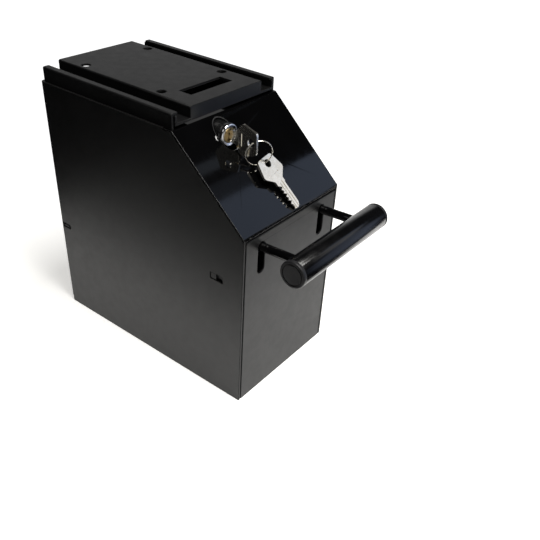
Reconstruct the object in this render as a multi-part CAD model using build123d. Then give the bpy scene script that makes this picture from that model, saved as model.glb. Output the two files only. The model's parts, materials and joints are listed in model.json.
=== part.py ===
from build123d import *
import os
from math import atan2, cos, degrees, radians, sin, tan

# Under-counter deposit safe.  Millimetres, +Z up, the front faces -Y.
# Everything is built in the box's own frame: X = 0 on the centre plane, Y = 0 on the outer face
# of the front panel, Z = 0 on the underside.  export_node() then moves it so that the origin is
# the centre of the four screw holes, on the face that lies against the counter.

# ---- driving dimensions -------------------------------------------------------------------
SHEET = 1.5                      # steel sheet
WIDTH = 102.0                    # outside, wall to wall
DEPTH = 183.0
WALL_TOP = 185.0                 # top edge of the side and rear walls
NOSE_Z = 133.2                   # where the sloping panel meets the front plane
ROOF_Y = 58.0                    # where the sloping panel reaches WALL_TOP
PANEL_GAP = 0.9                  # between the front panel and the side walls
FRONT_TOP = 129.6                # top edge of the front panel, lower edge of the deposit slit
LIP_BOTTOM = 131.2               # lower edge of the sloping panel, upper edge of the slit

HOLE_X, HOLE_Y = 57.0, 72.0      # spacing of the counter screws
HOLE_D = 6.4
HOLE_CENTRE_Y = 124.3
BRACKET_TOP = 196.0              # the face against the counter
BRACKET_HALF = 34.3
BRACKET_Y0, BRACKET_Y1 = 58.0, 182.4
FLANGE_Z = 187.0                 # underside of the bracket's sliding flanges
FLANGE_HALF = 47.5
FLANGE_LIP_TOP = 193.2
CAM_SLOT = (39.2, 10.8)          # slot in the bracket that the cam rises into
CAM_SLOT_Y = 76.7

RAIL_TOP = 195.0
RAIL_LOW = 168.0
RAIL_LIP = 5.0
RAIL_Y0, RAIL_Y1 = 59.0, 179.8
STRIP_Y = 66.0                   # rear edge of the flat strip behind the sloping panel

LOCK_X, LOCK_Z = -13.0, 175.2    # the lock's axis runs along Y
LOCK_FACE_Y = 44.2
LOCK_BACK_Y = 72.0
LOCK_R = 7.8
BARREL_R = 6.5
PLUG_R = 4.9
LOCK_HOLE_R = 8.2
STAY_Y = 64.5                    # upright plate that carries the lock
CAM_Y = 75.5
CAM_REACH = 20.7
CAM_WIDTH = 9.0
CAM_T = 2.5
TAIL = 5.0                       # side of the plug's square tail

PIVOT_Y, PIVOT_Z = 40.0, 118.8   # the lever's axis runs along X
PIVOT_R = 3.0
BAR = 10.0                       # square lever bar
BAR_HALF = 40.0
ROD_X = 33.0
ROD_D = 6.0
ROD_RISE = 3.1                   # degrees, towards the handle
HANDLE_Y = -34.4
HANDLE_R = 9.0
HANDLE_WALL = 1.5
ROD_END = 3.0                    # how far the rods run past the handle's axis
HANDLE_HALF = 48.5
CAP_LENGTH = 2.4
SLOT_W = 7.0
SLOT_Z = (101.3, 124.5)
HANDLE_REACH = (PIVOT_Y - HANDLE_Y) / cos(radians(ROD_RISE))
CHEEK_T = 2.0                    # cheek plates that carry the lever's pins
BOSS_DEPTH = 5.5
BOSS_R = 6.5
BUSH_R = 4.5
SCREW_X, SCREW_R = 15.0, 1.5     # screws that hold the shutter on the bar
TAB_SHORT = 0.3                  # how far the tabs stop short of the walls' outer faces

KEY_T = 1.6
KEY_HOLE_R = 2.8
BOW_LENGTH = 17.0
BLADE_LENGTH = 21.5
HOLE_FROM_END = 4.5
KEY_END_Y = 22.6                 # outer end of the inserted key's bow
RING_WIRE_R = 0.5

SLOPE = degrees(atan2(WALL_TOP - NOSE_Z, ROOF_Y))
HALF = WIDTH / 2
INNER = HALF - SHEET
SHEET_RUN = SHEET / cos(radians(SLOPE))      # the sheet's thickness measured straight down
SLOPE_DIR = Vector(0, cos(radians(SLOPE)), sin(radians(SLOPE)))
SLOPE_NORMAL = Vector(0, -sin(radians(SLOPE)), cos(radians(SLOPE)))

# middle of the stretch of wire that goes through each key
RING_AT_LOCK_KEY = Vector(LOCK_X, 26.9, 174.8)
SPARE_HOLE = Vector(-3.0, 21.9, 159.9)
SPARE_AXIS_TURN = 8.4            # degrees about the slope's normal
SPARE_TIP_DROP = 5.9             # degrees towards the panel


# ---- helpers ------------------------------------------------------------------------------
def block(x0, x1, y0, y1, z0, z1):
    """A box given by its two corners."""
    centre = ((x0 + x1) / 2, (y0 + y1) / 2, (z0 + z1) / 2)
    return Pos(*centre) * Box(x1 - x0, y1 - y0, z1 - z0)


def rod_y(x, z, r, y0, y1):
    """A round bar along Y."""
    return Pos(x, (y0 + y1) / 2, z) * Rot(90, 0, 0) * Cylinder(r, y1 - y0)


def rod_x(y, z, r, x0, x1):
    """A round bar along X."""
    return Pos((x0 + x1) / 2, y, z) * Rot(0, 90, 0) * Cylinder(r, x1 - x0)


def side_profile(points, x0, x1):
    """A side view outline, given as (y, z) points, made solid from x0 to x1."""
    face = make_face(Polyline([(0, y, z) for y, z in points], close=True))
    return Pos(x0, 0, 0) * extrude(face, amount=x1 - x0, dir=(1, 0, 0))


def front_profile(points, y0, y1):
    """A front view outline, given as (x, z) points, made solid from y0 to y1."""
    face = make_face(Polyline([(x, 0, z) for x, z in points], close=True))
    return Pos(0, y0, 0) * extrude(face, amount=y1 - y0, dir=(0, 1, 0))


def mirrored(shape):
    return mirror(shape, about=Plane.YZ)


def edges_at(shape, axis, checks):
    """Straight edges along an axis whose centres pass every (attribute, value) check."""
    found = shape.edges().filter_by(axis)
    for attribute, value in checks:
        found = [e for e in found if abs(getattr(e.center(), attribute) - value) < 0.01]
    return found


def export_node(name, shape):
    placed = Pos(0, -HOLE_CENTRE_Y, -BRACKET_TOP) * shape
    export_step(placed, "parts/" + name + ".step")


# ---- fixed to the counter -----------------------------------------------------------------
def mounting_bracket():
    """Hat-shaped plate: raised top, webs, outward flanges with turned-up lips, front flange."""
    web_in = BRACKET_HALF - SHEET
    lip_in = FLANGE_HALF - SHEET
    half_hat = [
        (0, BRACKET_TOP - SHEET), (web_in, BRACKET_TOP - SHEET), (web_in, FLANGE_Z),
        (FLANGE_HALF, FLANGE_Z), (FLANGE_HALF, FLANGE_LIP_TOP), (lip_in, FLANGE_LIP_TOP),
        (lip_in, FLANGE_Z + SHEET), (BRACKET_HALF, FLANGE_Z + SHEET), (BRACKET_HALF, BRACKET_TOP),
        (0, BRACKET_TOP),
    ]
    half = front_profile(half_hat, BRACKET_Y0, BRACKET_Y1)
    plate = half + mirrored(half)
    plate += block(-web_in, web_in, BRACKET_Y0, BRACKET_Y0 + SHEET, FLANGE_Z, BRACKET_TOP - SHEET)
    for side in (-1, 1):
        top_bends = edges_at(plate, Axis.Y, [("X", side * BRACKET_HALF), ("Z", BRACKET_TOP)])
        plate = fillet(top_bends, 1.2)
    for sx in (-1, 1):
        for sy in (-1, 1):
            hole_y = HOLE_CENTRE_Y + sy * HOLE_Y / 2
            plate -= Pos(sx * HOLE_X / 2, hole_y, BRACKET_TOP) * Cylinder(HOLE_D / 2, 8)
    plate -= Pos(0, CAM_SLOT_Y, BRACKET_TOP) * Box(CAM_SLOT[0], CAM_SLOT[1], 8)
    return plate


# ---- the box ------------------------------------------------------------------------------
def slope_under(y):
    """Height of the underside of the sloping panel at y."""
    return NOSE_Z + y * tan(radians(SLOPE)) - SHEET_RUN


def body_shell():
    """Left, rear and right walls, folded from one sheet."""
    outline = RectangleRounded(WIDTH, 2 * DEPTH, 3.0)
    inside = RectangleRounded(WIDTH - 2 * SHEET, 2 * (DEPTH - SHEET), 1.5)
    wrap = extrude(outline - inside, amount=WALL_TOP)
    step_z = WALL_TOP - SHEET
    step_y = (step_z - NOSE_Z + SHEET_RUN) / tan(radians(SLOPE))
    notch_y, notch_z = DEPTH - 2.5, 5.0
    seen_from_side = [
        (0, 0), (notch_y, 0), (notch_y, notch_z), (DEPTH + 1, notch_z), (DEPTH + 1, WALL_TOP),
        (STRIP_Y, WALL_TOP), (STRIP_Y, step_z), (step_y, step_z), (SHEET, slope_under(SHEET)),
        (SHEET, LIP_BOTTOM), (0, LIP_BOTTOM),
    ]
    shell = wrap & side_profile(seen_from_side, -HALF - 1, HALF + 1)
    for side in (-1, 1):
        x0, x1 = sorted((side * (INNER - 1), side * (HALF + 1)))
        shell -= block(x0, x1, 16.5, 27.2, 94.0, 98.8)
        shell -= block(x0, x1, 171.5, 180.5, 72.0, 75.5)
    return shell


def bottom_plate():
    """Floor with a turned-up flange on each side, welded inside the walls."""
    flange = 12.0
    y0, y1 = SHEET, DEPTH - SHEET
    tray = block(-INNER, INNER, y0, y1, 0, flange)
    tray -= block(-INNER + SHEET, INNER - SHEET, y0 + SHEET, y1 - SHEET, SHEET, flange + 1)
    for side in (-1, 1):
        for y in (y0, y1):
            tray -= Pos(side * INNER, y, flange / 2 + SHEET) * Box(5, 5, flange)
            tray -= Pos(side * INNER, y, 0) * Box(3.2, 3.2, flange)
    return tray


def lock_panel():
    """Sloping panel: short lip over the slit below, flat strip above, hole for the lock."""
    step_z = WALL_TOP - SHEET
    step_y = (step_z - NOSE_Z + SHEET_RUN) / tan(radians(SLOPE))
    outline = [
        (0, LIP_BOTTOM), (0, NOSE_Z), (ROOF_Y, WALL_TOP), (STRIP_Y, WALL_TOP), (STRIP_Y, step_z),
        (step_y, step_z), (SHEET, slope_under(SHEET)), (SHEET, LIP_BOTTOM),
    ]
    panel = side_profile(outline, -HALF, HALF)
    panel = fillet(edges_at(panel, Axis.X, [("Y", 0), ("Z", NOSE_Z)]), 1.0)
    panel = fillet(edges_at(panel, Axis.X, [("Y", ROOF_Y), ("Z", WALL_TOP)]), 1.5)
    return panel - rod_y(LOCK_X, LOCK_Z, LOCK_HOLE_R, 20, ROOF_Y + 2)


def front_panel():
    """Front sheet with two slots for the rods and a return flange down each side."""
    half = INNER - PANEL_GAP
    panel = block(-half, half, 0, SHEET, 0, FRONT_TOP)
    for side in (-1, 1):
        x0, x1 = sorted((side * (half - SHEET), side * half))
        panel += block(x0, x1, SHEET, 12.0, 14.0, FRONT_TOP - 4)
    slot_mid = (SLOT_Z[0] + SLOT_Z[1]) / 2
    straight = SLOT_Z[1] - SLOT_Z[0] - SLOT_W
    for side in (-1, 1):
        slot = block(side * ROD_X - SLOT_W / 2, side * ROD_X + SLOT_W / 2, -5, 5,
                     slot_mid - straight / 2, slot_mid + straight / 2)
        for end in (-1, 1):
            slot += rod_y(side * ROD_X, slot_mid + end * straight / 2, SLOT_W / 2, -5, 5)
        panel -= slot
    return panel


def slide_rail(side):
    """Sheet strip welded inside a side wall; its turned-in top edge hangs on the bracket."""
    outer, inner = INNER, INNER - SHEET
    outline = [
        (side * outer, RAIL_LOW), (side * outer, RAIL_TOP), (side * (outer - RAIL_LIP), RAIL_TOP),
        (side * (outer - RAIL_LIP), RAIL_TOP - SHEET + 0.1), (side * inner, RAIL_TOP - SHEET + 0.1),
        (side * inner, RAIL_LOW),
    ]
    rail = front_profile(outline, RAIL_Y0, RAIL_Y1)
    bend = edges_at(rail, Axis.Y, [("X", side * outer), ("Z", RAIL_TOP)])
    rail = fillet(bend, 1.2)
    return rail - block(-HALF, HALF, RAIL_Y0 - 1, STRIP_Y, RAIL_LOW - 1, WALL_TOP)


def pivot_bracket(side):
    """Cheek plate inside a side wall that carries one end of the lever; its tab fills the slot."""
    x0, x1 = sorted((side * (INNER - CHEEK_T), side * INNER))
    plate = block(x0, x1, 14.0, 52.0, 88.0, 128.0)
    plate = fillet(plate.edges().filter_by(Axis.X), 3.0)
    t0, t1 = sorted((side * INNER, side * (HALF - TAB_SHORT)))
    plate += block(t0, t1, 22.0, 27.0, 94.2, 98.6)
    s0, s1 = sorted((side * (INNER - BOSS_DEPTH), side * (INNER - CHEEK_T)))
    plate += rod_x(PIVOT_Y, PIVOT_Z, BOSS_R, s0, s1)
    return plate - rod_x(PIVOT_Y, PIVOT_Z, BUSH_R, min(x0, s0) - 1, max(x1, s1) + 1)


def pivot_bush(side):
    """Flanged plastic bush in a cheek plate."""
    s0, s1 = sorted((side * (INNER - BOSS_DEPTH), side * INNER))
    f0, f1 = sorted((side * (INNER - BOSS_DEPTH - 1.0), side * (INNER - BOSS_DEPTH)))
    bush = rod_x(PIVOT_Y, PIVOT_Z, BUSH_R, s0, s1) + rod_x(PIVOT_Y, PIVOT_Z, BOSS_R - 0.5, f0, f1)
    return bush - rod_x(PIVOT_Y, PIVOT_Z, PIVOT_R + 0.05, min(s0, f0) - 1, max(s1, f1) + 1)


def rear_cross_member():
    """Angle across the rear wall, with a tab in each side wall."""
    low, high = 72.8, 84.0
    half = INNER - 1.7
    angle = block(-half, half, 173.0, DEPTH - SHEET, low, low + SHEET)
    angle += block(-half, half, DEPTH - 2 * SHEET, DEPTH - SHEET, low, high)
    for side in (-1, 1):
        t0, t1 = sorted((side * half, side * (HALF - TAB_SHORT)))
        angle += block(t0, t1, 173.0, 179.5, low, low + SHEET)
    return angle


def lock_stay():
    """Angle welded under the flat strip; its upright leg holds the lock."""
    x0, x1 = LOCK_X - 17, LOCK_X + 17
    stay = block(x0, x1, STAY_Y, STAY_Y + SHEET, 160.0, WALL_TOP - SHEET)
    stay += block(x0, x1, STAY_Y - 5.0, STAY_Y, WALL_TOP - 2 * SHEET, WALL_TOP - SHEET)
    stay -= rod_y(LOCK_X, LOCK_Z, LOCK_R, STAY_Y - 6, STAY_Y)
    return stay - rod_y(LOCK_X, LOCK_Z, BARREL_R + 0.1, STAY_Y - 6, STAY_Y + 3)


def lock_housing():
    """Round head, threaded barrel with two flats, bore for the plug."""
    head_back = LOCK_FACE_Y + 3.4
    housing = rod_y(LOCK_X, LOCK_Z, LOCK_R, LOCK_FACE_Y, head_back)
    circles = housing.edges().filter_by(GeomType.CIRCLE)
    housing = chamfer([e for e in circles if e.center().Y < LOCK_FACE_Y + 0.1], 0.8)
    housing += rod_y(LOCK_X, LOCK_Z, BARREL_R, head_back, LOCK_BACK_Y)
    return housing - rod_y(LOCK_X, LOCK_Z, PLUG_R + 0.06, LOCK_FACE_Y - 1, LOCK_BACK_Y + 1)


def lock_sleeve():
    """Spacer tube between the lock's head and the stay."""
    y0 = LOCK_FACE_Y + 3.4
    tube = rod_y(LOCK_X, LOCK_Z, LOCK_R - 0.5, y0, STAY_Y)
    return tube - rod_y(LOCK_X, LOCK_Z, BARREL_R + 0.1, y0 - 1, STAY_Y + 1)


def lock_nut():
    """Hexagonal nut behind the stay."""
    y0 = STAY_Y + SHEET
    nut = Pos(LOCK_X, y0, LOCK_Z) * Rot(-90, 0, 0) * extrude(RegularPolygon(8.2, 6), amount=4.0)
    return nut - rod_y(LOCK_X, LOCK_Z, BARREL_R + 0.1, y0 - 1, y0 + 6)


# ---- turns with the key -------------------------------------------------------------------
def plug_tail(y0, y1):
    """Square bar behind the plug, over the given stretch of Y."""
    half = TAIL / 2
    return block(LOCK_X - half, LOCK_X + half, y0, y1, LOCK_Z - half, LOCK_Z + half)


def lock_plug():
    """Round core with a keyway and a square tail for the cam."""
    shoulder = LOCK_BACK_Y + 1.0
    plug = rod_y(LOCK_X, LOCK_Z, PLUG_R, LOCK_FACE_Y + 0.6, shoulder)
    plug += plug_tail(shoulder, CAM_Y + CAM_T / 2)
    keyway = block(LOCK_X - 1.05, LOCK_X + 1.05, LOCK_FACE_Y, 62.5, LOCK_Z - 3.8, LOCK_Z + 3.8)
    return plug - keyway


def lock_cam():
    """Flat bar on the plug's tail; it lies along +X when unlocked."""
    y0, y1 = CAM_Y - CAM_T / 2, CAM_Y + CAM_T / 2
    cam = block(LOCK_X, LOCK_X + CAM_REACH, y0, y1, LOCK_Z - CAM_WIDTH / 2, LOCK_Z + CAM_WIDTH / 2)
    tip = [e for e in cam.edges().filter_by(Axis.Y) if e.center().X > LOCK_X + 1]
    cam = fillet(tip, 2.0)
    cam += rod_y(LOCK_X, LOCK_Z, CAM_WIDTH / 2 + 1.5, y0, y1)
    return cam - plug_tail(y0 - 1, y1 + 1)


def cam_screw():
    """Pan-head screw that holds the cam on."""
    y0 = CAM_Y + CAM_T / 2
    head = rod_y(LOCK_X, LOCK_Z, 4.2, y0, y0 + 2.4)
    rim = [e for e in head.edges().filter_by(GeomType.CIRCLE) if e.center().Y > y0 + 1]
    return fillet(rim, 1.0)


def key_blank():
    """Flat key in its own frame: neck at the origin, bow towards +Y, blade towards -Y."""
    bow_half_end, bow_half_neck, neck_half = 7.2, 10.8, 4.2
    shoulder = 5.4
    outline = [
        (-neck_half, 0), (-bow_half_neck, shoulder), (-bow_half_end, BOW_LENGTH),
        (bow_half_end, BOW_LENGTH), (bow_half_neck, shoulder), (neck_half, 0),
    ]
    bow = extrude(make_face(Polyline(outline, close=True)), amount=KEY_T / 2, both=True)
    corners = [e for e in bow.edges().filter_by(Axis.Z) if e.center().Y > 1]
    bow = fillet(corners, 2.0)
    blade_half, collar = 3.5, 3.0
    teeth = 6
    pitch = (BLADE_LENGTH - collar - 2.5) / teeth
    side = [(-neck_half, 0.5), (-neck_half, -collar)]
    for i in range(teeth):
        deep = 1.3 if i % 2 else 2.0
        top = -collar - 0.5 - i * pitch
        side += [(-blade_half, top), (-blade_half + deep, top - pitch * 0.55)]
    side += [(-1.0, -BLADE_LENGTH), (1.6, -BLADE_LENGTH), (blade_half, -BLADE_LENGTH + 2.6)]
    side += [(blade_half, -collar), (neck_half, -collar), (neck_half, 0.5)]
    blade = extrude(make_face(Polyline(side, close=True)), amount=KEY_T / 2, both=True)
    groove = Pos(1.3, -BLADE_LENGTH / 2 - 1.5, KEY_T / 2) * Box(1.2, BLADE_LENGTH, 0.8)
    key = bow + blade - groove
    return key - Pos(0, BOW_LENGTH - HOLE_FROM_END, 0) * Cylinder(KEY_HOLE_R, 10)


def inserted_key():
    """Key in the lock: blade along +Y, flat sides facing left and right."""
    frame = Plane(origin=(LOCK_X, KEY_END_Y + BOW_LENGTH, LOCK_Z), x_dir=(0, 0, 1), z_dir=(1, 0, 0))
    return frame.location * key_blank()


def spare_frame():
    """Frame of the spare key's hole: Y runs up the slope to the bow's end, Z away from the panel."""
    along = SLOPE_DIR.rotate(Axis((0, 0, 0), SLOPE_NORMAL), SPARE_AXIS_TURN)
    sideways = along.cross(SLOPE_NORMAL)
    along = along.rotate(Axis((0, 0, 0), sideways), SPARE_TIP_DROP)
    return Plane(origin=SPARE_HOLE, x_dir=sideways, z_dir=sideways.cross(along))


def spare_key():
    shift = Pos(0, -(BOW_LENGTH - HOLE_FROM_END), 0)
    return spare_frame().location * shift * key_blank()


def ring_plane():
    """Plane of the key ring: it passes through both bows, and nearly faces front left."""
    start = RING_AT_LOCK_KEY
    frame = spare_frame()
    finish = SPARE_HOLE + frame.y_dir * 1.2
    chord = finish - start
    facing = Vector(0.45, 0.83, 0.30)
    normal = (facing - chord.normalized() * facing.dot(chord.normalized())).normalized()
    return Plane(origin=(start + finish) * 0.5, x_dir=chord.normalized(), z_dir=normal), chord.length / 2


def key_ring():
    plane, radius = ring_plane()
    return plane.location * Torus(radius, RING_WIRE_R)


# ---- the lever ----------------------------------------------------------------------------
def tilted(shape):
    """Turns a shape built about the pivot with its rods along -Y up to the rods' rise."""
    return Pos(0, PIVOT_Y, PIVOT_Z) * Rot(-ROD_RISE, 0, 0) * shape


def lever_bar():
    """Square bar with a turned pin at each end and a hole for each rod."""
    bar = Box(2 * BAR_HALF, BAR, BAR)
    bar += rod_x(0, 0, PIVOT_R, -INNER + 0.5, INNER - 0.5)
    for side in (-1, 1):
        bar -= rod_y(side * ROD_X, 0, ROD_D / 2, -BAR, BAR)
    return tilted(bar)


def handle_rod(side):
    """Round rod from the lever bar to the middle of the handle."""
    rod = rod_y(side * ROD_X, 0, ROD_D / 2, -HANDLE_REACH - ROD_END, BAR / 2)
    return tilted(rod)


def handle_tube():
    half = HANDLE_HALF - CAP_LENGTH
    tube = rod_x(-HANDLE_REACH, 0, HANDLE_R, -half, half)
    tube -= rod_x(-HANDLE_REACH, 0, HANDLE_R - HANDLE_WALL, -half - 1, half + 1)
    for side in (-1, 1):
        tube -= rod_y(side * ROD_X, 0, ROD_D / 2, -HANDLE_REACH, 0)
    return tilted(tube)


def handle_insert(side):
    """Round slug inside the handle that the rod screws into."""
    half = 6.0
    slug = rod_x(-HANDLE_REACH, 0, HANDLE_R - HANDLE_WALL, side * ROD_X - half, side * ROD_X + half)
    return tilted(slug - rod_y(side * ROD_X, 0, ROD_D / 2, -HANDLE_REACH - ROD_END, 0))


def end_cap(side):
    """Plastic cap: plug inside the tube, collar outside, shallow ring groove in the face."""
    tube_end = HANDLE_HALF - CAP_LENGTH
    p0, p1 = sorted((side * (tube_end - 5), side * tube_end))
    c0, c1 = sorted((side * tube_end, side * HANDLE_HALF))
    collar = rod_x(-HANDLE_REACH, 0, HANDLE_R, c0, c1)
    circles = collar.edges().filter_by(GeomType.CIRCLE)
    rim = [e for e in circles if abs(abs(e.center().X) - HANDLE_HALF) < 0.01]
    cap = fillet(rim, 0.8) + rod_x(-HANDLE_REACH, 0, HANDLE_R - HANDLE_WALL, p0, p1)
    g0, g1 = sorted((side * (HANDLE_HALF - 0.6), side * (HANDLE_HALF + 1)))
    groove = rod_x(-HANDLE_REACH, 0, HANDLE_R - 1.7, g0, g1)
    groove -= rod_x(-HANDLE_REACH, 0, HANDLE_R - 2.5, g0 - 1, g1 + 1)
    return tilted(cap - groove)


def deposit_shutter():
    """Plate on top of the lever bar that closes the slit from behind."""
    half = 43.0
    foot, foot_top = BAR / 2, BAR / 2 + SHEET
    lip_back = -34.0
    lip_front = lip_back - SHEET
    lip_top, lip_low = 12.2, 5.6
    points = [
        (foot, foot), (foot, foot_top), (-foot, foot_top), (lip_back, lip_top),
        (lip_front, lip_top), (lip_front, lip_low), (lip_back, lip_low),
        (lip_back, lip_top - SHEET - 0.1), (-foot, foot),
    ]
    plate = side_profile(points, -half, half)
    for side in (-1, 1):
        plate -= Pos(side * SCREW_X, 0, foot) * Cylinder(SCREW_R + 0.1, 6)
    return tilted(plate)


def shutter_screws():
    """Two pan-head screws that hold the shutter on the bar."""
    head_height = 2.0
    head_low = BAR / 2 + SHEET
    group = []
    for side in (-1, 1):
        head = Pos(side * SCREW_X, 0, head_low + head_height / 2) * Cylinder(3.2, head_height)
        circles = head.edges().filter_by(GeomType.CIRCLE)
        head = fillet([e for e in circles if e.center().Z > head_low + 1], 0.8)
        shank = Pos(side * SCREW_X, 0, BAR / 2 + SHEET / 2) * Cylinder(SCREW_R, SHEET)
        group.append(tilted(head + shank))
    return Compound(children=group)


def rod_nuts():
    """Two hexagonal nuts that lock the rods against the front of the bar."""
    thick = 3.0
    hexagon = extrude(RegularPolygon(5.6, 6), amount=thick)
    group = []
    for side in (-1, 1):
        nut = Pos(side * ROD_X, -BAR / 2 - thick, 0) * Rot(-90, 0, 0) * hexagon
        group.append(tilted(nut - rod_y(side * ROD_X, 0, ROD_D / 2, -BAR, 0)))
    return Compound(children=group)


def return_spring(side):
    """Torsion spring round one pin, drawn as the closed tube that its coils fill."""
    x0, x1 = sorted((side * (BAR_HALF + 0.4), side * (INNER - 7.0)))
    coils = rod_x(0, 0, 4.8, x0, x1) - rod_x(0, 0, 3.5, x0 - 1, x1 + 1)
    return tilted(coils)


NODES = {
    "mounting_bracket": mounting_bracket(),
    "body_shell": body_shell(),
    "bottom_plate": bottom_plate(),
    "lock_panel": lock_panel(),
    "front_panel": front_panel(),
    "rear_cross_member": rear_cross_member(),
    "lock_stay": lock_stay(),
    "lock_housing": lock_housing(),
    "lock_sleeve": lock_sleeve(),
    "lock_nut": lock_nut(),
    "lock_plug": lock_plug(),
    "lock_cam": lock_cam(),
    "cam_screw": cam_screw(),
    "inserted_key": inserted_key(),
    "key_ring": key_ring(),
    "spare_key": spare_key(),
    "lever_bar": lever_bar(),
    "handle_tube": handle_tube(),
    "deposit_shutter": deposit_shutter(),
    "shutter_screws": shutter_screws(),
    "rod_nuts": rod_nuts(),
}
PAIRS = {
    "slide_rail": slide_rail,
    "pivot_bracket": pivot_bracket,
    "pivot_bush": pivot_bush,
    "handle_rod": handle_rod,
    "handle_insert": handle_insert,
    "end_cap": end_cap,
    "return_spring": return_spring,
}

os.makedirs("parts", exist_ok=True)
for name, shape in NODES.items():
    export_node(name, shape)
for name, make in PAIRS.items():
    export_node("left_" + name, make(-1))
    export_node("right_" + name, make(1))
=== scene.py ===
import json
import math

import bmesh
import bpy
from mathutils import Matrix, Vector

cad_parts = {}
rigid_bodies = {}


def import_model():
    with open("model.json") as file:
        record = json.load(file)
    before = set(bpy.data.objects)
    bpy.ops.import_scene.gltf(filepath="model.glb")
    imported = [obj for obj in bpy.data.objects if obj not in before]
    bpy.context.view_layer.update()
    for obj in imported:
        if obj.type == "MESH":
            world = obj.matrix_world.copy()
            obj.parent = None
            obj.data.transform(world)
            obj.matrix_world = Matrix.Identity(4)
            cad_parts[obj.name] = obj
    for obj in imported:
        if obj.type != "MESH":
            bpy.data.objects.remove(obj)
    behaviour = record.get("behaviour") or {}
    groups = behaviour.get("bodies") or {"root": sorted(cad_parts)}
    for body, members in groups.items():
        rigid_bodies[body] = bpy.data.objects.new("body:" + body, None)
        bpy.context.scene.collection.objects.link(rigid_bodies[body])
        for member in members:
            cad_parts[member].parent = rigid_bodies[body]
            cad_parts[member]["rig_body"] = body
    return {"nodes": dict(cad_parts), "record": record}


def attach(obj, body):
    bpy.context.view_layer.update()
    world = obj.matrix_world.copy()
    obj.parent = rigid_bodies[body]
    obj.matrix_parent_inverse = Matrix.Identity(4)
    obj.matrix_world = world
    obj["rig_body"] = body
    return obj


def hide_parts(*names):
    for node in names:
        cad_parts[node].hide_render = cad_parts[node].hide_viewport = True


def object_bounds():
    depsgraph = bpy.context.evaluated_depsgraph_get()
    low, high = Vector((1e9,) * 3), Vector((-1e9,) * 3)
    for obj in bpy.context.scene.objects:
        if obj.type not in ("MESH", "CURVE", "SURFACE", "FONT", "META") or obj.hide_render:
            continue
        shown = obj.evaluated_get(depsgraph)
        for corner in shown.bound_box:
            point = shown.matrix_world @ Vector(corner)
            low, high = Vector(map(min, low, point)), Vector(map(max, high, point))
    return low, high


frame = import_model()
CAD_LOW, CAD_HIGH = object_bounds()
NODES = frame["nodes"]
SLOT_OF = {entry["node"]: entry["material_slot"] for entry in frame["record"]["subparts"]}

# ---- the part's own numbers: millimetres and degrees, in the box's frame ------------------------
# X = 0 on the centre plane, Y = 0 on the front panel's outer face, Z = 0 on the underside.
MM = 0.001
ORIGIN = Vector((0.0, 124.3, 196.0))   # the row frame's origin, seen from the box's frame

LOCK_X, LOCK_Z = -13.0, 175.2          # the lock's axis runs along Y
LOCK_FACE_Y = 44.2
LOCK_HEAD_BACK = 47.6                  # where the head passes to the threaded barrel
LOCK_BACK_Y = 72.0

NOSE_Z, WALL_TOP, ROOF_Y = 133.2, 185.0, 58.0   # lower and upper end of the sloping panel
SLOPE = math.atan2(WALL_TOP - NOSE_Z, ROOF_Y)

KEY_T = 1.6
BOW_LENGTH, BLADE_LENGTH = 17.0, 21.5
KEY_HOLE_R = 2.8
HOLE_FROM_END = 4.5
KEY_END_Y = 22.6                       # outer end of the inserted key's bow
SPARE_HOLE = Vector((-3.0, 21.9, 159.9))
SPARE_TURN, SPARE_TIP_DROP = 8.4, 5.9  # degrees about the slope's normal, and towards the panel
RING_AT_LOCK_KEY = Vector((LOCK_X, 26.9, 174.8))
RING_SHIFT = 1.2                       # from the second key's hole centre to the wire
RING_WIRE_R = 0.3

PIVOT_Y, PIVOT_Z = 40.0, 118.8         # the lever's axis runs along X
BAR_HALF = 40.0
ROD_RISE = 3.1                         # degrees, towards the handle


def row_frame():
    """Matrix from millimetres in the box's frame to metres in the row frame."""
    return Matrix.Scale(MM, 4) @ Matrix.Translation(-ORIGIN)


def frame_matrix(origin, x_dir, y_dir):
    """Matrix that carries local axes to a place in the box's frame."""
    x = Vector(x_dir).normalized()
    z = x.cross(Vector(y_dir)).normalized()
    y = z.cross(x)
    m = Matrix((x, y, z)).transposed().to_4x4()
    m.translation = Vector(origin)
    return m


def turned(vector, axis, degrees):
    """The vector turned about an axis."""
    out = Vector(vector)
    out.rotate(Matrix.Rotation(math.radians(degrees), 3, Vector(axis)))
    return out


# ---- shader nodes -------------------------------------------------------------------------
def add(tree, kind, links=None, **settings):
    """A node with its sockets set to values or linked to other sockets."""
    node = tree.nodes.new(kind)
    for name, value in settings.items():
        setattr(node, name, value)
    for name, value in (links or {}).items():
        if isinstance(value, bpy.types.NodeSocket):
            tree.links.new(value, node.inputs[name])
        else:
            node.inputs[name].default_value = value
    return node


def noise(tree, where, scale, detail=3.0, rough=0.55, stretch=None):
    """A noise texture's value; scale is in features per metre."""
    if stretch:
        stretched = add(tree, "ShaderNodeMapping", {"Vector": where, "Scale": stretch})
        where = stretched.outputs["Vector"]
    node = add(tree, "ShaderNodeTexNoise",
               {"Vector": where, "Scale": scale, "Detail": detail, "Roughness": rough})
    return node.outputs["Fac"]


def span(tree, value, low, high, to_low, to_high):
    """Value carried from one range to another, smoothly."""
    node = add(tree, "ShaderNodeMapRange",
               {"Value": value, "From Min": low, "From Max": high,
                "To Min": to_low, "To Max": to_high},
               interpolation_type="SMOOTHSTEP")
    return node.outputs["Result"]


def mask(tree, value, low, high):
    """0 where the value is low, 1 where it is high."""
    return span(tree, value, low, high, 0.0, 1.0)


def math_node(tree, operation, a, b, **settings):
    node = add(tree, "ShaderNodeMath", {0: a, 1: b}, operation=operation, **settings)
    return node.outputs["Value"]


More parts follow.
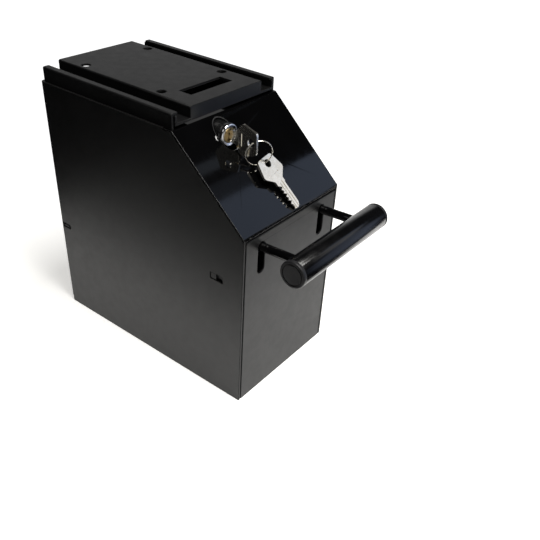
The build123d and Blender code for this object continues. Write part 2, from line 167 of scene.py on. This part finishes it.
def mixed(tree, factor, dark, light):
    """One colour where the factor is 0 and the other where it is 1; each a value or a socket."""
    node = add(tree, "ShaderNodeMix", {"Factor": factor}, data_type="RGBA")
    for socket, value in (("A", dark), ("B", light)):
        target = [s for s in node.inputs if s.name == socket and s.type == "RGBA"][0]
        if isinstance(value, bpy.types.NodeSocket):
            tree.links.new(value, target)
        else:
            target.default_value = (*value, 1.0)
    return [s for s in node.outputs if s.type == "RGBA"][0]


def bumped(tree, layers):
    """Bump nodes stacked on each other: (height socket, strength, distance in metres)."""
    normal = None
    for height, strength, distance in layers:
        links = {"Height": height, "Strength": strength, "Distance": distance}
        if normal is not None:
            links["Normal"] = normal
        normal = add(tree, "ShaderNodeBump", links).outputs["Normal"]
    return normal


def edge_mask(tree, reach):
    """Near 1 on outer edges, 0 on open faces; reach in metres."""
    node = add(tree, "ShaderNodeAmbientOcclusion", {"Distance": reach},
               samples=6, inside=True, only_local=True)
    return span(tree, node.outputs["AO"], 0.55, 0.95, 1.0, 0.0)


def material(name, **shader):
    """A new material, its node tree, its shader and its object coordinates."""
    made = bpy.data.materials.new(name)
    made.use_nodes = True
    tree = made.node_tree
    principled = tree.nodes["Principled BSDF"]
    for socket, value in shader.items():
        principled.inputs[socket.replace("_", " ")].default_value = value
    where = tree.nodes.new("ShaderNodeTexCoord").outputs["Object"]
    return made, tree, principled, where


def connect(tree, principled, **sockets):
    """Links each value to the shader's socket of that name."""
    for socket, value in sockets.items():
        tree.links.new(value, principled.inputs[socket.replace("_", " ")])


# ---- materials ----------------------------------------------------------------------------
CLOUDS = (0.35, 0.68)      # where a cloudy tint starts and ends in the noise
MIDDLE = (0.3, 0.7)        # most of the noise's values


def tinted(tree, where, scale, dark, light, detail=4.0, rough=0.6):
    """Cloudy mix of two close colours."""
    cloud = noise(tree, where, scale, detail, rough)
    return mixed(tree, mask(tree, cloud, *CLOUDS), dark, light)


def scaled(colour, factor):
    return tuple(factor * c for c in colour)


def powder_coat(name, dark, light, rough, grain, specular=0.5):
    """Black paint: fine orange peel, cloudy sheen, small scuffs, and dull, slightly bare edges."""
    made, tree, shader, where = material(name, Specular_IOR_Level=specular)
    patches = noise(tree, where, 140.0, 5.0, 0.6)
    peel = noise(tree, where, 900.0, 2.0, 0.5)
    speck = noise(tree, where, 2600.0, 2.0, 0.5)
    scuffs = noise(tree, where, 60.0, 8.0, 0.75, stretch=(1.0, 0.25, 3.0))
    edges = edge_mask(tree, 0.8 * MM)
    worn = math_node(tree, "MULTIPLY", edges, span(tree, patches, 0.45, 0.7, 0.25, 1.0))

    paint = tinted(tree, where, 22.0, dark, light, 3.0, 0.5)
    paint = mixed(tree, span(tree, scuffs, 0.62, 0.78, 0.0, 0.35), paint, scaled(light, 2.6))
    paint = mixed(tree, span(tree, worn, 0.2, 1.0, 0.0, 0.3), paint, scaled(light, 2.5))
    dull_edge = math_node(tree, "MULTIPLY", edges, 0.45)
    sheen = math_node(tree, "ADD", span(tree, patches, *MIDDLE, *rough), dull_edge, use_clamp=True)
    relief = bumped(tree, [(peel, grain, 0.06 * MM), (speck, grain * 0.6, 0.02 * MM)])
    connect(tree, shader, Base_Color=paint, Roughness=sheen, Normal=relief)
    return made


def metal(name, dark, light, rough, stretch, bump):
    """Plated metal: brushed grain along one direction, cloudy tint."""
    made, tree, shader, where = material(name, Metallic=1.0)
    grain = noise(tree, where, 2400.0, 3.0, 0.6, stretch=stretch)
    connect(tree, shader,
            Base_Color=tinted(tree, where, 220.0, dark, light),
            Roughness=span(tree, grain, *MIDDLE, *rough),
            Normal=bumped(tree, [(grain, bump, 0.02 * MM)]))
    return made


def plastic(name, dark, light, rough, sub=0.0):
    """Moulded plastic: fine spark-eroded texture and faint flow marks."""
    made, tree, shader, where = material(name, Subsurface_Weight=sub, Subsurface_Scale=0.001,
                                         Specular_IOR_Level=0.3)
    flow = noise(tree, where, 90.0, 5.0, 0.65, stretch=(0.4, 1.0, 1.0))
    spark = noise(tree, where, 3200.0, 2.0, 0.5)
    connect(tree, shader,
            Base_Color=mixed(tree, mask(tree, flow, *CLOUDS), dark, light),
            Roughness=span(tree, flow, *CLOUDS, *rough),
            Normal=bumped(tree, [(spark, 0.25, 0.03 * MM)]))
    return made


EVEN = (1.0, 1.0, 1.0)           # grain with no direction
ALONG_Y = (1.0, 0.12, 1.0)       # grain drawn out along Y
MATERIALS = {   # each with a darker and a lighter colour, which its clouds pass between
    "black_powder_coat": powder_coat(
        "powder_coat", (0.0022, 0.0022, 0.0024), (0.004, 0.004, 0.0043),
        rough=(0.385, 0.44), grain=0.30, specular=0.37),
    "black_handle_coat": powder_coat(
        "handle_coat", (0.0012, 0.0012, 0.0014), (0.002, 0.002, 0.0023),
        rough=(0.17, 0.23), grain=0.06),
    "black_gloss_coat": powder_coat(
        "gloss_coat", (0.0009, 0.0009, 0.001), (0.0014, 0.0014, 0.0016),
        rough=(0.045, 0.07), grain=0.02),
    "chrome": metal(
        "chrome_plate", (0.78, 0.78, 0.79), (0.9, 0.9, 0.9),
        rough=(0.05, 0.10), stretch=EVEN, bump=0.05),
    # Much darker than bare brass: painted shade, standing for the dark look of the plug face, which
    # sits back in the head's dish.
    "brass_core": metal(
        "brass", (0.28, 0.20, 0.09), (0.42, 0.31, 0.15),
        rough=(0.25, 0.40), stretch=(1.0, 0.2, 1.0), bump=0.2),
    "nickel_key": metal(
        "nickel", (0.86, 0.82, 0.73), (0.95, 0.92, 0.84),
        rough=(0.19, 0.25), stretch=ALONG_Y, bump=0.15),
    "zinc_steel": metal(
        "zinc", (0.50, 0.51, 0.53), (0.66, 0.67, 0.69),
        rough=(0.28, 0.45), stretch=EVEN, bump=0.2),
    "spring_steel": metal(
        "spring_wire", (0.36, 0.35, 0.34), (0.5, 0.49, 0.48),
        rough=(0.25, 0.4), stretch=EVEN, bump=0.2),
    "black_plastic": plastic(
        "cap_plastic", (0.011, 0.011, 0.012), (0.017, 0.017, 0.018), rough=(0.34, 0.45)),
    "white_nylon": plastic(
        "nylon", (0.72, 0.71, 0.67), (0.80, 0.79, 0.75), rough=(0.4, 0.5), sub=0.1),
}


# ---- building pieces ----------------------------------------------------------------------
SHARP = 32.0               # degrees between faces from which an edge stays sharp
SEAM = 1e-4                # millimetres: points that are one in a mesh just built
SLIVER = 0.002             # millimetres: points that a cut or a bevel leaves too close


def shaded(mesh, angle):
    """Smooth shading, sharp where faces meet at more than the angle."""
    mesh.shade_smooth()
    work = bmesh.new()
    work.from_mesh(mesh)
    for edge in work.edges:
        if len(edge.link_faces) == 2:
            edge.smooth = edge.calc_face_angle(0.0) < math.radians(angle)
    work.to_mesh(mesh)
    work.free()


def linked(name, data):
    """A new object in the scene, with the mesh or lamp that it is given."""
    obj = bpy.data.objects.new(name, data)
    bpy.context.scene.collection.objects.link(obj)
    return obj


def piece(name, mesh, place, node, angle=SHARP):
    """A finished piece: mesh in local millimetres, placed in the box's frame. It stands for a CAD
    node, rides with it and takes its slot."""
    slot = SLOT_OF[node]
    mesh.transform(row_frame() @ place)
    mesh.name = name
    shaded(mesh, angle)
    obj = linked(name, mesh)
    obj.data.materials.clear()
    obj.data.materials.append(MATERIALS[slot])
    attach(obj, NODES[node]["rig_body"])
    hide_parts(node)


def cleaned(work):
    """A mesh from the bmesh, with doubled points merged and its faces turned outwards."""
    bmesh.ops.remove_doubles(work, verts=work.verts, dist=SEAM)
    bmesh.ops.recalc_face_normals(work, faces=work.faces)
    mesh = bpy.data.meshes.new("made")
    work.to_mesh(mesh)
    work.free()
    return mesh


def lathe(profile, steps):
    """Closed (radius, height) profile turned about local Z."""
    work = bmesh.new()
    rings = []
    for i in range(steps):
        a = 2 * math.pi * i / steps
        rings.append([work.verts.new((r * math.cos(a), r * math.sin(a), h)) for r, h in profile])
    count = len(profile)
    for i in range(steps):
        one, two = rings[i], rings[(i + 1) % steps]
        for k in range(count):
            corners = [one[k], one[(k + 1) % count], two[(k + 1) % count], two[k]]
            work.faces.new(corners)
    return cleaned(work)


def rounded(corners, steps=6):
    """Outline through (x, y, radius) corners, each rounded to its radius."""
    out = []
    count = len(corners)
    for i in range(count):
        before, here, after = (Vector(corners[(i + k) % count][:2]) for k in (-1, 0, 1))
        r = corners[i][2]
        a, b = (before - here).normalized(), (after - here).normalized()
        half = a.angle(b) / 2
        longest = 0.49 * min((before - here).length, (after - here).length)
        reach = min(r / math.tan(half), longest)
        centre = here + (a + b).normalized() * reach / math.cos(half)
        start, end = here + a * reach - centre, here + b * reach - centre
        turn = start.angle_signed(end)
        for k in range(steps + 1):
            arm = start.copy()
            arm.rotate(Matrix.Rotation(-turn * k / steps, 2))
            out.append(tuple(centre + arm))
    return out


def plate(outline, holes, thickness):
    """Flat plate with holes, centred on z = 0."""
    work = bmesh.new()
    for loop in [outline, *holes]:
        ring = [work.verts.new((x, y, -thickness / 2)) for x, y in loop]
        for k, vert in enumerate(ring):
            work.edges.new((vert, ring[(k + 1) % len(ring)]))
    bmesh.ops.triangle_fill(work, edges=work.edges[:], use_beauty=True, use_dissolve=False)
    raised = bmesh.ops.extrude_face_region(work, geom=work.faces[:])
    moved = [v for v in raised["geom"] if isinstance(v, bmesh.types.BMVert)]
    bmesh.ops.translate(work, verts=moved, vec=(0.0, 0.0, thickness))
    return cleaned(work)


def cut(mesh, cutters=(), edge=0.0):
    """The mesh with each cutter mesh taken away, or with its edges softened to a width, or both."""
    target = linked("target", mesh)
    tools = [linked("tool", shape) for shape in cutters]
    for tool in tools:
        step = target.modifiers.new("cut", "BOOLEAN")
        step.operation, step.object, step.solver = "DIFFERENCE", tool, "EXACT"
    if edge > 0:
        soft = target.modifiers.new("soft", "BEVEL")
        soft.width, soft.segments, soft.limit_method = edge, 2, "ANGLE"
        soft.angle_limit = math.radians(35.0)
    bpy.context.view_layer.update()
    evaluated = target.evaluated_get(bpy.context.evaluated_depsgraph_get())
    done = bpy.data.meshes.new_from_object(evaluated)
    for obj in [target, *tools]:
        bpy.data.objects.remove(obj)
    work = bmesh.new()
    work.from_mesh(done)
    bmesh.ops.remove_doubles(work, verts=work.verts, dist=SLIVER)
    work.to_mesh(done)
    work.free()
    return done


def bar(x, y, z):
    """Box between two x, two y and two z values."""
    low, high = (Vector(ends) for ends in zip(x, y, z))
    work = bmesh.new()
    bmesh.ops.create_cube(work, size=1.0)
    place = Matrix.Translation((low + high) / 2) @ Matrix.Diagonal((*(high - low), 1.0))
    bmesh.ops.transform(work, matrix=place, verts=work.verts)
    mesh = bpy.data.meshes.new("bar")
    work.to_mesh(mesh)
    work.free()
    return mesh


def wire(points, radius, sides):
    """Round wire along a line of points, with blunt ends."""
    work = bmesh.new()
    rings = []
    line = [Vector(p) for p in points]
    normal = None
    for i, here in enumerate(line):
        tangent = (line[min(i + 1, len(line) - 1)] - line[max(i - 1, 0)]).normalized()
        if normal is None:
            normal = tangent.orthogonal().normalized()
        normal = (normal - tangent * normal.dot(tangent)).normalized()
        across = tangent.cross(normal)
        rings.append([
            work.verts.new(here + (normal * math.cos(a) + across * math.sin(a)) * radius)
            for a in (2 * math.pi * k / sides for k in range(sides))
        ])
    for one, two in zip(rings, rings[1:]):
        for k in range(sides):
            work.faces.new([one[k], one[(k + 1) % sides], two[(k + 1) % sides], two[k]])
    work.faces.new(list(reversed(rings[0])))
    work.faces.new(rings[-1])
    return cleaned(work)


# ---- keys ---------------------------------------------------------------------------------
def key_mesh():
    """Flat key: neck at the origin, bow towards +Y, toothed blade towards -Y."""
    neck, collar, blade_half = 4.2, 3.0, 3.5
    bow_half, bow_widest, bow_end_half = 10.8, 5.4, 7.2
    corners = [   # (x, y, radius), from the neck round the bow and down the blade's plain edge
        (-neck, 0.0, 0.9), (-bow_half, bow_widest, 2.4), (-bow_end_half, BOW_LENGTH, 2.6),
        (bow_end_half, BOW_LENGTH, 2.6), (bow_half, bow_widest, 2.4), (neck, 0.0, 0.9),
        (neck, -collar, 0.4), (blade_half, -collar - 0.3, 0.3),
        (blade_half, -BLADE_LENGTH + 2.6, 0.8), (1.6, -BLADE_LENGTH, 0.5), (-1.0, -BLADE_LENGTH, 0.5),
    ]
    teeth, shallow, deep = 6, 1.3, 2.0
    pitch = (BLADE_LENGTH - collar - 2.5) / teeth
    for i in reversed(range(teeth)):
        valley = -blade_half + (shallow if i % 2 else deep)
        top = -collar - 0.5 - i * pitch
        corners += [(valley, top - pitch * 0.62, 0.12), (valley, top - pitch * 0.48, 0.12),
                    (-blade_half, top, 0.15)]
    corners.append((-neck, -collar, 0.4))

    hole_y, hole_steps = BOW_LENGTH - HOLE_FROM_END, 40
    hole = [(KEY_HOLE_R * math.cos(a), hole_y + KEY_HOLE_R * math.sin(a))
            for a in (-2 * math.pi * k / hole_steps for k in range(hole_steps))]
    blank = cut(plate(rounded(corners), [hole], KEY_T), edge=0.12)

    face, clear = KEY_T / 2, KEY_T / 2 + 1.0
    past_tip = -BLADE_LENGTH - 1.0
    grooves = [bar((-1.3, -0.6), (past_tip, -2.2), (face - 0.3, clear))]   # thin, on one face only
    for side in (-1, 1):
        engraved = sorted((side * (face - 0.45), side * clear))
        grooves.append(bar((-4.2, 4.2), (4.7, 5.4), engraved))             # plain line on the bow
        milled = sorted((side * (face - 0.38), side * clear))
        grooves.append(bar((0.7, 1.9), (past_tip, -1.2), milled))          # along the blade
    return cut(blank, grooves)


slope_dir = Vector((0.0, math.cos(SLOPE), math.sin(SLOPE)))
slope_normal = Vector((0.0, -math.sin(SLOPE), math.cos(SLOPE)))
spare_y = turned(slope_dir, slope_normal, SPARE_TURN)
spare_x = spare_y.cross(slope_normal)
spare_y = turned(spare_y, spare_x, SPARE_TIP_DROP)

hole_to_neck = Matrix.Translation((0.0, -(BOW_LENGTH - HOLE_FROM_END), 0.0))
spare_place = frame_matrix(SPARE_HOLE, spare_x, spare_y) @ hole_to_neck
neck_in_lock = (LOCK_X, KEY_END_Y + BOW_LENGTH, LOCK_Z)
lock_key_place = frame_matrix(neck_in_lock, (0, 0, 1), (0, -1, 0))
KEY_SHARP = 20.0           # degrees
piece("key_in_lock", key_mesh(), lock_key_place, "inserted_key", KEY_SHARP)
piece("key_on_ring", key_mesh(), spare_place, "spare_key", KEY_SHARP)


def split_ring():
    """Two turns of wire side by side, with a short step where one passes to the other, and the
    matrix that places them."""
    finish = SPARE_HOLE + spare_y * RING_SHIFT
    chord = finish - RING_AT_LOCK_KEY
    radius = chord.length / 2
    along = chord.normalized()
    facing = Vector((0.45, 0.83, 0.30))
    normal = (facing - along * facing.dot(along)).normalized()
    place = frame_matrix((RING_AT_LOCK_KEY + finish) / 2, along, normal.cross(along))

    half_gap, steps = 0.27, 260
    start, sweep = math.radians(75.0), math.radians(712.0)
    step_from, step_length = 0.47, 0.06      # along the wire, as parts of its length
    line = []
    for i in range(steps + 1):
        t = i / steps
        a = start + sweep * t
        rise = min(1.0, max(0.0, (t - step_from) / step_length))
        height = half_gap * (2 * rise * rise * (3 - 2 * rise) - 1)
        line.append((radius * math.cos(a), radius * math.sin(a), height))
    return wire(line, RING_WIRE_R, sides=14), place


piece("split_ring", *split_ring(), "key_ring")


# ---- lock ---------------------------------------------------------------------------------
def lock_head():
    """Polished head with a rounded rim and a dished face, on a threaded barrel."""
    bore_r, head_r, thread_r, root_r, pitch = 4.96, 7.8, 6.5, 6.05, 1.0
    face = LOCK_FACE_Y
    profile = [
        (bore_r, LOCK_BACK_Y), (bore_r, face + 0.95), (5.15, face + 0.72), (5.5, face + 0.62),
        (5.95, face + 0.32), (6.25, face + 0.08), (6.6, face), (7.0, face + 0.1),
        (7.4, face + 0.36), (7.68, face + 0.8), (head_r, face + 1.4), (head_r, LOCK_HEAD_BACK - 0.2),
        (head_r - 0.2, LOCK_HEAD_BACK), (thread_r, LOCK_HEAD_BACK),
    ]
    for i in range(int((LOCK_BACK_Y - LOCK_HEAD_BACK - 1.0) / pitch)):
        y = LOCK_HEAD_BACK + 0.6 + i * pitch
        profile += [(thread_r, y), (thread_r, y + 0.2), (root_r, y + 0.5), (root_r, y + 0.6)]
    profile += [(thread_r, LOCK_BACK_Y - 0.3), (thread_r - 0.2, LOCK_BACK_Y)]
    return lathe(profile, steps=128)


lock_place = frame_matrix((LOCK_X, 0.0, LOCK_Z), (1, 0, 0), (0, 0, -1))
piece("lock_head", lock_head(), lock_place, "lock_housing")


# ---- springs ------------------------------------------------------------------------------
def spring(side):
    """Torsion spring: close turns round the pin, with one leg on the bar."""
    coil_r, wire_r, pitch = 4.15, 0.48, 1.05
    turns, steps = 1.8, 90
    x0 = BAR_HALF + 0.55
    line = [(side * x0, -7.5, 4.2)]          # the leg's end
    for i in range(steps + 1):
        t = i / steps
        a = math.radians(90.0) + 2 * math.pi * turns * t
        line.append((side * (x0 + pitch * turns * t), coil_r * math.cos(a), coil_r * math.sin(a)))
    return wire(line, wire_r, sides=10)


tilt = Matrix.Rotation(-math.radians(ROD_RISE), 4, "X")
lever_place = Matrix.Translation((0.0, PIVOT_Y, PIVOT_Z)) @ tilt
for label, side in (("left", -1), ("right", 1)):
    piece(label + "_torsion_spring", spring(side), lever_place, label + "_return_spring")


# ---- CAD nodes that stay: softened edges and their finishes -----------------------------------
FINISH = {"handle_tube": "black_handle_coat", "lock_sleeve": "black_gloss_coat"}
EDGE = {"body_shell": 0.35, "lock_panel": 0.25, "front_panel": 0.3, "handle_tube": 0.3}
OTHER_EDGES = 0.2
WELD_M = 2e-6              # metres
for name, obj in NODES.items():
    if obj.hide_render:
        continue
    obj.data.materials.clear()
    obj.data.materials.append(MATERIALS[FINISH.get(name, SLOT_OF[name])])
    weld = obj.modifiers.new("weld", "WELD")
    weld.merge_threshold = WELD_M
    soft = obj.modifiers.new("soft_edges", "BEVEL")
    soft.width = EDGE.get(name, OTHER_EDGES) * MM
    soft.segments = 2
    soft.limit_method = "ANGLE"
    soft.angle_limit = math.radians(40.0)
    soft.harden_normals = True


# ---- floor --------------------------------------------------------------------------------
# The paint's gradients are the floor's reflection, and they end where the floor ends.
FLOOR_X, FLOOR_Y = (-0.15, 0.45), (-0.25, 0.20)
floor_mesh = bpy.data.meshes.new("floor")
(x0, x1), (y0, y1) = FLOOR_X, FLOOR_Y
floor_mesh.from_pydata([(x0, y0, 0), (x1, y0, 0), (x1, y1, 0), (x0, y1, 0)], [], [(0, 1, 2, 3)])
floor = linked("floor", floor_mesh)
floor.location.z = CAD_LOW.z - 0.1 * MM
floor_mat, tree, shader, where = material("pale_floor", Specular_IOR_Level=0.2,
                                          Emission_Strength=0.6,
                                          Emission_Color=(1.0, 0.985, 0.95, 1.0))
grain = noise(tree, where, 8.0, 3.0)
connect(tree, shader, Base_Color=mixed(tree, grain, (0.86, 0.86, 0.86), (0.9, 0.9, 0.9)),
        Roughness=span(tree, grain, *MIDDLE, 0.7, 0.85))
floor_mesh.materials.append(floor_mat)


# ---- lights -------------------------------------------------------------------------------
TARGET = Vector((0.0, -0.03, -0.10))      # about the middle of the box
CARD_Z = 0.6
WARM, BLUISH, BLUE = (1.0, 0.98, 0.96), (0.75, 0.85, 1.0), (0.62, 0.74, 1.0)


def softbox(name, place, aim, size, power, colour=(1.0, 1.0, 1.0)):
    """Rectangular area light that faces a point."""
    light = bpy.data.lights.new(name, "AREA")
    light.shape = "RECTANGLE"
    light.size, light.size_y = size
    light.energy = power
    light.color = colour
    obj = linked(name, light)
    obj.location = place
    obj.rotation_euler = (Vector(aim) - Vector(place)).to_track_quat("-Z", "Y").to_euler()


def card(name, x, y, glow, colour):
    """Softbox level with the floor, with its edges along X and Y, of a given radiance."""
    (x0, x1), (y0, y1) = x, y
    centre = Vector(((x0 + x1) / 2, (y0 + y1) / 2, CARD_Z))
    size = (x1 - x0, y1 - y0)
    below = centre - Vector((0.0, 0.0, 1.0))
    softbox(name, centre, below, size, glow * math.pi * size[0] * size[1], colour)


softbox("overhead", (0.0, -0.40, 0.75), TARGET, (0.4, 0.6), 13.0, (1.0, 0.985, 0.95))
softbox("left_fill", (-0.75, -0.1, 0.75), TARGET, (0.5, 0.4), 0.5)
# The sloping panel mirrors the cards as level bands. key_card lies beyond what it mirrors, and
# shows in the key on the ring, the handle and the lock.
card("front_card", (0.45, 1.5), (-0.66, -0.52), 0.8, BLUE)
card("key_card", (0.45, 1.5), (-1.1, -0.66), 0.8, WARM)
card("strip_card", (0.45, 0.74), (-0.447, -0.420), 0.32, BLUISH)
card("step_card", (0.45, 0.74), (-0.52, -0.475), 0.17, (0.7, 0.8, 1.0))


# ---- world --------------------------------------------------------------------------------
SEEN_BY_CAMERA = (1.15, 1.15, 1.15)       # white; everything else meets the room
ROOM = (0.012, 0.012, 0.012)
GLOWS = [   # middle, dot product with it where the glow starts and is full, colour
    ((0.5, 0.8, 0.3), (0.80, 0.97), (0.2, 0.2, 0.2)),              # pale wall at the back
    ((0.72, -0.68, 0.05), (0.86, 0.97), (0.42, 0.49, 0.66)),       # bluish curtain
    ((-0.68, -0.72, -0.12), (0.80, 0.98), (0.75, 0.75, 0.75)),     # far floor, front left
    ((0.68, 0.70, -0.20), (0.80, 0.98), (0.75, 0.75, 0.75)),       # far floor, back right
]

world = bpy.data.worlds.new("studio")
bpy.context.scene.world = world
world.use_nodes = True
tree = world.node_tree
tree.nodes.clear()
seen = add(tree, "ShaderNodeLightPath").outputs["Is Camera Ray"]
sky = add(tree, "ShaderNodeTexCoord").outputs["Generated"]
room = ROOM
for middle, reach, colour in GLOWS:
    toward = add(tree, "ShaderNodeVectorMath", {0: sky, 1: Vector(middle).normalized()},
                 operation="DOT_PRODUCT").outputs["Value"]
    room = mixed(tree, mask(tree, toward, *reach), room, colour)
room = mixed(tree, seen, room, SEEN_BY_CAMERA)
background = add(tree, "ShaderNodeBackground", {"Color": room, "Strength": 1.0})
add(tree, "ShaderNodeOutputWorld", {"Surface": background.outputs["Background"]})


# ---- camera -------------------------------------------------------------------------------
CAMERA_AT = Vector((-0.3148, -0.3344, 0.1444))
AZIMUTH, ELEVATION, ROLL = (math.radians(a) for a in (-54.04, 35.54, 3.54))
camera_data = bpy.data.cameras.new("camera")
camera_data.sensor_width = 36.0
camera_data.lens = 44.16
camera_data.shift_x, camera_data.shift_y = 0.0061, 0.0337
camera_data.clip_start = 0.01
camera = linked("camera", camera_data)
back = Vector((math.sin(AZIMUTH) * math.cos(ELEVATION), -math.cos(AZIMUTH) * math.cos(ELEVATION),
               math.sin(ELEVATION)))
right = Vector((0, 0, 1)).cross(back).normalized()
up = back.cross(right)
right_rolled = right * math.cos(ROLL) + up * math.sin(ROLL)
up_rolled = up * math.cos(ROLL) - right * math.sin(ROLL)
pose = Matrix((right_rolled, up_rolled, back)).transposed().to_4x4()
pose.translation = CAMERA_AT
camera.matrix_world = pose
bpy.context.scene.camera = camera
bpy.context.scene.view_settings.view_transform = "Standard"
